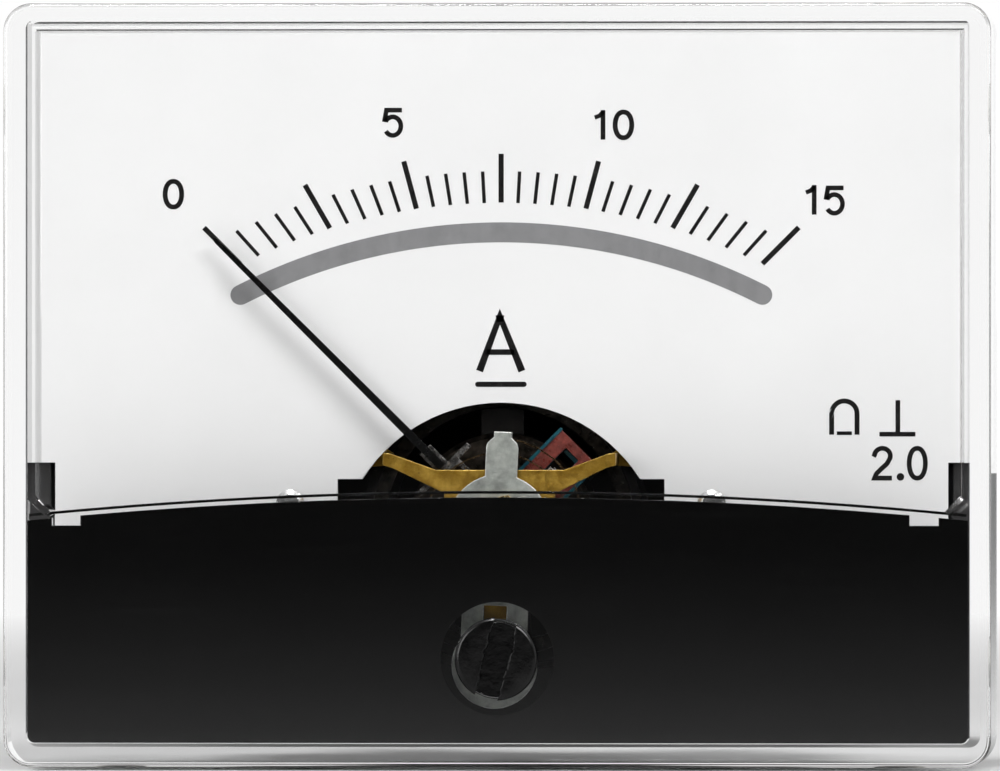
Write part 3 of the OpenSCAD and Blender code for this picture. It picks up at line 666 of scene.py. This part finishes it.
def lever_material():
    """Plated sheet, mottled, with a painted highlight: its edges painted near white."""
    t = Tree("lever_plated")
    v = t.coords()
    col = t.ramp(t.noise(v, 1100, 8, 0.66), [(0.30, (0.22, 0.235, 0.215)), (0.5, (0.36, 0.38, 0.35)), (0.72, (0.52, 0.54, 0.50))])
    edge, en = edge_highlight_mask(t, 0.00011)
    # painted highlight: the edges' colour mixed to near white
    col = t.mix(edge, col, (0.95, 0.95, 0.93))
    fine = t.noise(v, 3000, 7, 0.66)
    nrm = t.bump(fine, 0.00003, 0.55, en)
    rough = t.math("SUBTRACT", t.map(fine, 0.3, 0.7, 0.32, 0.46), t.math("MULTIPLY", edge, 0.12))
    return t.done(t.principled(Base_Color=col, Metallic=0.6, Roughness=rough, Normal=nrm))


def winding_material():
    t = Tree("winding_enamel")
    v = t.coords()
    col = t.ramp(t.noise(v, 1700, 8, 0.7), [(0.3, (0.045, 0.008, 0.006)), (0.5, (0.15, 0.028, 0.020)), (0.66, (0.27, 0.055, 0.040)), (0.8, (0.48, 0.20, 0.16))])
    wires = t.noise(t.coords((1, 0.2, 1), (0, math.radians(45), 0)), 3800, 3, 0.5)
    fine = t.noise(v, 3200, 6, 0.6)
    nrm = t.bump(fine, 0.00004, 0.6, t.bump(wires, 0.00002, 0.5, t.edges(0.00004)))
    p = t.principled(Base_Color=col, Roughness=t.map(fine, 0.3, 0.7, 0.22, 0.42), Normal=nrm)
    p.inputs["Coat Weight"].default_value = 0.25
    return t.done(p)


def ruby_material():
    t = Tree("ruby")
    v = t.coords()
    col = t.ramp(t.noise(v, 1500, 3), [(0.3, (0.50, 0.02, 0.06)), (0.7, (0.66, 0.05, 0.12))])
    p = t.principled(Base_Color=col, Roughness=0.06)
    p.inputs["Transmission Weight"].default_value = 0.6
    p.inputs["IOR"].default_value = 1.76
    return t.done(p)


MATS["front_bridge"] = bridge_material()
MATS["zero_lever"] = lever_material()
MATS["coil_winding"] = winding_material()
MATS["front_jewel"] = MATS["rear_jewel"] = ruby_material()
for name, ob in N.items():
    if name in MATS:
        set_mat(name, MATS[name])
set_mat("front_cover", cover.data.materials[0])


# ================================================================= small pieces
def sweep(name_or_bm, path, r, sides=8, closed=False, taper=0):
    """A round wire along points in mm."""
    bm = name_or_bm
    P3 = [Vector(p) for p in path]
    n = len(P3)
    rows = []
    up = Vector((0, 1, 0))
    for i in range(n):
        a, b = P3[max(i - 1, 0)], P3[min(i + 1, n - 1)]
        t = (b - a).normalized()
        if abs(t.dot(up)) > 0.98:
            up = Vector((1, 0, 0)) if abs(t.x) < 0.9 else Vector((0, 0, 1))
        u = t.cross(up).normalized()
        w = u.cross(t).normalized()
        up = w
        k = 1.0
        if taper and (i < taper or i >= n - taper):
            k = (min(i, n - 1 - i) + 0.35) / (taper + 0.35)
        rows.append([bm.verts.new((P3[i] + (u * math.cos(q) + w * math.sin(q)) * r * k) * MM)
                     for q in [2 * math.pi * s / sides for s in range(sides)]])
    for a, b in zip(rows, rows[1:]):
        for i in range(sides):
            j = (i + 1) % sides
            bm.faces.new((a[i], a[j], b[j], b[i]))
    bm.faces.new(rows[0][::-1])
    bm.faces.new(rows[-1])


def thread(bm, cx, cz, r, pitch, y0, y1, depth=None, per=28):
    """A helical ridge on a rod of radius r about +Y, run out at both ends."""
    depth = depth or pitch * 0.34
    turns = (y1 - y0) / pitch
    n = int(turns * per)
    prof = [(-pitch * 0.36, 0.0), (-pitch * 0.08, 1.0), (pitch * 0.08, 1.0), (pitch * 0.36, 0.0)]
    rows = []
    for i in range(n + 1):
        f = i / n
        a = 2 * math.pi * turns * f
        y = y0 + (y1 - y0) * f
        k = min(1.0, f * turns * 2.0 + 0.05, (1 - f) * turns * 2.0 + 0.05)
        row = []
        for dy, h in prof:
            rr = r - 0.03 + (depth * k * 0.35 + 0.03) * h if h else r - 0.03
            row.append(bm.verts.new(((cx + rr * math.cos(a)) * MM, (y + dy) * MM, (cz + rr * math.sin(a)) * MM)))
        rows.append(row)
    for a, b in zip(rows, rows[1:]):
        for i in range(3):
            bm.faces.new((a[i], a[i + 1], b[i + 1], b[i]))
        bm.faces.new((a[3], a[0], b[0], b[3]))
    bm.faces.new(rows[0])
    bm.faces.new(rows[-1][::-1])


bm = bmesh.new()
for x in (-24, 24):
    for z in (-17, 17):
        thread(bm, x, z, 1.5, 0.5, 0.7, 11.3)
stud_threads = new_object("stud_threads", bm)
finish_mesh(stud_threads, MATS["panel_studs"], "case", 50)
bm = bmesh.new()
for x in (-9.5, 9.5):
    thread(bm, x, 7, 2.0, 0.7, 30.0, 33.2)
    thread(bm, x, 7, 2.0, 0.7, 25.6, 26.9)
term_threads = new_object("terminal_threads", bm)
finish_mesh(term_threads, MATS["terminal_studs"], "case", 50)

# locking lacquer on the front jewel screw's nut and the lever
def blob(name, cx, y, cz, rx, rz, h, mat, body, seed=3, n=40, rows=7):
    rnd = random.Random(seed)
    wob = [1 + 0.10 * math.sin(2 * t + rnd.random()) + 0.06 * math.sin(5 * t + rnd.random() * 6) for t in [2 * math.pi * i / n for i in range(n)]]
    rings = []
    for k in range(rows):
        a = math.radians(88 * k / (rows - 1))
        rings.append([(cx + rx * math.cos(a) * wob[i] * math.cos(2 * math.pi * i / n), y - h * math.sin(a), cz + rz * math.cos(a) * wob[i] * math.sin(2 * math.pi * i / n)) for i in range(n)])
    ob = loft(name, rings)
    finish_mesh(ob, mat, body, 60)
    return ob


t = Tree("lacquer_red")
_v = t.coords()
_p = t.principled(Base_Color=t.ramp(t.noise(_v, 1400, 3), [(0.3, (0.42, 0.02, 0.012)), (0.7, (0.60, 0.05, 0.03))]), Roughness=0.18)
_p.inputs["Coat Weight"].default_value = 0.5
M_LACQUER = t.done(_p)
lacquer = blob("lock_lacquer", 0.25, -9.53, -7.28, 0.62, 0.50, 0.30, M_LACQUER, "lever")


# ================================================================= adjuster
def build_adjuster():
    yf = Y_FRONT - 0.8
    prof = [(0.0, yf)]
    head = [(2.2, yf)]
    for k in range(1, 7):
        a = math.radians(15 * k)
        head.append((2.2 + 0.3 * math.sin(a), yf + 0.3 * (1 - math.cos(a))))
    prof = head + [(2.5, Y_FRONT - 0.05), (2.2, Y_FRONT - 0.05), (2.2, Y_IN + 0.05), (2.42, Y_IN + 0.05), (2.42, Y_IN + 0.45),
                   (2.0, Y_IN + 0.8), (1.8, Y_IN + 0.8), (1.8, Y_MASK + 0.15)]
    ob = turned("adjuster_detail", prof, 0, ADJ, 96)
    # the slot, its edges worn by screwdrivers
    rnd = random.Random(11)
    n = 46
    rings = []
    wl = wr = cl = cr = 0.0
    for i in range(n + 1):
        v = -3.2 + 6.4 * i / n
        wl += (rnd.random() - 0.5) * 0.10 - wl * 0.25
        wr += (rnd.random() - 0.5) * 0.10 - wr * 0.25
        cl = 0.05 + 0.10 * rnd.random() + 0.05 * math.sin(v * 2.1)
        cr = 0.05 + 0.10 * rnd.random() + 0.05 * math.cos(v * 1.7)
        xl, xr = -0.69 + wl, 0.69 + wr
        pts = [(xl - cl * 1.9, yf - 0.4), (xl - cl, yf), (xl - cl * 0.35, yf + cl * 0.5), (xl, yf + cl * 1.2), (xl, yf + 1.3),
               (xr, yf + 1.3), (xr, yf + cr * 1.2), (xr + cr * 0.35, yf + cr * 0.5), (xr + cr, yf), (xr + cr * 1.9, yf - 0.4)]
        t = math.radians(-14)
        rings.append([(x * math.cos(t) - v * math.sin(t), y, ADJ + x * math.sin(t) + v * math.cos(t)) for x, y in pts])
    boolean(ob, loft("slot_cut", rings), "DIFFERENCE")
    px, pz = -8.9 * math.sin(math.radians(2.5)), -8.5 - 8.9 * math.cos(math.radians(2.5))
    pin = turned("pin", [(0.6, Y_MASK + 0.1), (0.6, -8.99), (0.56, -8.95)], px, pz, 32)
    boolean(ob, pin, "UNION")
    finish_mesh(ob, MATS["zero_adjuster"], "adjuster", 25)
    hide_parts("zero_adjuster")
    return ob


build_adjuster()


# ================================================================= floor, light
def floor():
    bm = bmesh.new()
    s, n = 6.0, 24
    vs = [[bm.verts.new((-s / 2 + s * i / n, -s / 2 + s * j / n, 0)) for j in range(n + 1)] for i in range(n + 1)]
    for i in range(n):
        for j in range(n):
            bm.faces.new((vs[i][j], vs[i + 1][j], vs[i + 1][j + 1], vs[i][j + 1]))
    ob = new_object("floor", bm)
    ob.location.z = -23.3 * MM
    t = Tree("floor_pale")
    v = t.coords()
    col = t.ramp(t.noise(v, 12, 4), [(0.3, (0.86, 0.86, 0.86)), (0.7, (0.90, 0.90, 0.90))])
    # painted shade in reflections: in a mirror image the floor in front of the meter is darkened, fading to black with
    # distance
    sep = t.n("ShaderNodeSeparateXYZ")
    t.link(v, sep.inputs[0])
    painted_reflection_shade = t.ramp(t.map(sep.outputs[1], -1.0, 0.1, 0.0, 1.0),
                 [(0.0, (0, 0, 0)), (0.45, (0.01, 0.01, 0.01)), (0.66, (0.04, 0.04, 0.04)), (0.80, (0.12, 0.12, 0.12)), (0.90, (0.35, 0.35, 0.35)), (1.0, (1, 1, 1))])
    lp = t.n("ShaderNodeLightPath")
    mirrored = t.math("GREATER_THAN", lp.outputs["Glossy Depth"], 0.5)
    col = t.mix(mirrored, col, t.mix(1.0, col, painted_reflection_shade, "MULTIPLY"))
    near = t.principled(Base_Color=col, Roughness=0.75)
    # far from the meter the sweep is as white as the studio behind it
    length = t.n("ShaderNodeVectorMath", operation="LENGTH")
    t.link(v, length.inputs[0])
    away = t.map(length.outputs["Value"], 0.16, 0.60, 0.0, 1.0)
    straight = t.math("MAXIMUM", t.math("LESS_THAN", lp.outputs["Glossy Depth"], 0.5), t.math("GREATER_THAN", sep.outputs[1], 0.05))
    through = t.math("MULTIPLY", lp.outputs["Is Transmission Ray"], straight)
    seen = t.math("MAXIMUM", lp.outputs["Is Camera Ray"], through)
    white = t.n("ShaderNodeEmission")
    white.inputs[1].default_value = 1.0
    white.inputs[0].default_value = (1, 1, 1, 1)
    mx = t.n("ShaderNodeMixShader")
    t.link(t.math("MULTIPLY", away, seen), mx.inputs[0])
    t.link(near.outputs[0], mx.inputs[1])
    t.link(white.outputs[0], mx.inputs[2])
    ob.data.materials.append(t.done(mx))
    return ob


floor()


def softbox(name, loc, aim, size, power, color=(1, 1, 1)):
    d = bpy.data.lights.new(name, "AREA")
    d.shape = "RECTANGLE"
    d.size, d.size_y = size
    d.energy = power
    d.color = color
    ob = bpy.data.objects.new(name, d)
    scene.collection.objects.link(ob)
    ob.location = loc
    ob.rotation_mode = "QUATERNION"
    ob.rotation_quaternion = (Vector(aim) - Vector(loc)).to_track_quat("-Z", "Y")
    ob.visible_camera = False
    return ob


softbox("key", (0.42, -0.62, 0.55), (0, 0, 0), (0.50, 0.40), 4.6)
softbox("fill", (-0.60, -0.70, 0.25), (0, 0, 0), (0.50, 0.50), 2.7)
softbox("top", (-0.06, -0.30, 0.75), (0, 0, 0), (0.22, 0.18), 3.6)


def build_world():
    world = bpy.data.worlds.new("world")
    scene.world = world
    world.use_nodes = True
    t = world.node_tree
    t.nodes.clear()
    link = t.links.new

    def node(kind, **props):
        x = t.nodes.new(kind)
        for k, v in props.items():
            setattr(x, k, v)
        return x

    def math_(op, a, b):
        x = node("ShaderNodeMath", operation=op)
        for sock, v in zip(x.inputs, (a, b)):
            if isinstance(v, (int, float)):
                sock.default_value = v
            else:
                link(v, sock)
        return x.outputs[0]

    def background(value):
        x = node("ShaderNodeBackground")
        x.inputs[0].default_value = (1, 1, 1, 1)
        if isinstance(value, (int, float)):
            x.inputs[1].default_value = value
        else:
            link(value, x.inputs[1])
        return x.outputs[0]

    def mix(f, a, b):
        x = node("ShaderNodeMixShader")
        link(f, x.inputs[0])
        link(a, x.inputs[1])
        link(b, x.inputs[2])
        return x.outputs[0]

    lp = node("ShaderNodeLightPath")
    # white to the eye, straight or through clear plastic; in a reflection the front of the studio is dark
    through = math_("MULTIPLY", lp.outputs["Is Transmission Ray"], math_("LESS_THAN", lp.outputs["Glossy Depth"], 0.5))
    seen = math_("MAXIMUM", lp.outputs["Is Camera Ray"], through)
    mirrored = math_("MAXIMUM", lp.outputs["Is Glossy Ray"], lp.outputs["Is Transmission Ray"])
    tc = node("ShaderNodeTexCoord")
    sep = node("ShaderNodeSeparateXYZ")
    link(tc.outputs["Generated"], sep.inputs[0])
    mr = node("ShaderNodeMapRange")
    mr.inputs[1].default_value, mr.inputs[2].default_value = -1.0, 1.0
    link(sep.outputs[1], mr.inputs[0])
    ramp = node("ShaderNodeValToRGB")
    el = ramp.color_ramp.elements
    stops = [(0.0, 0.0), (0.06, 0.01), (0.16, 0.05), (0.33, 0.30), (0.50, 0.80), (0.60, 1.0)]
    while len(el) < len(stops):
        el.new(0.5)
    for e, (p, v) in zip(el, stops):
        e.position = p
        e.color = (v, v, v, 1)
    link(mr.outputs[0], ramp.inputs[0])
    surround = mix(mirrored, background(0.10), background(ramp.outputs[0]))
    out = node("ShaderNodeOutputWorld")
    link(mix(seen, surround, background(1.0)), out.inputs["Surface"])


build_world()
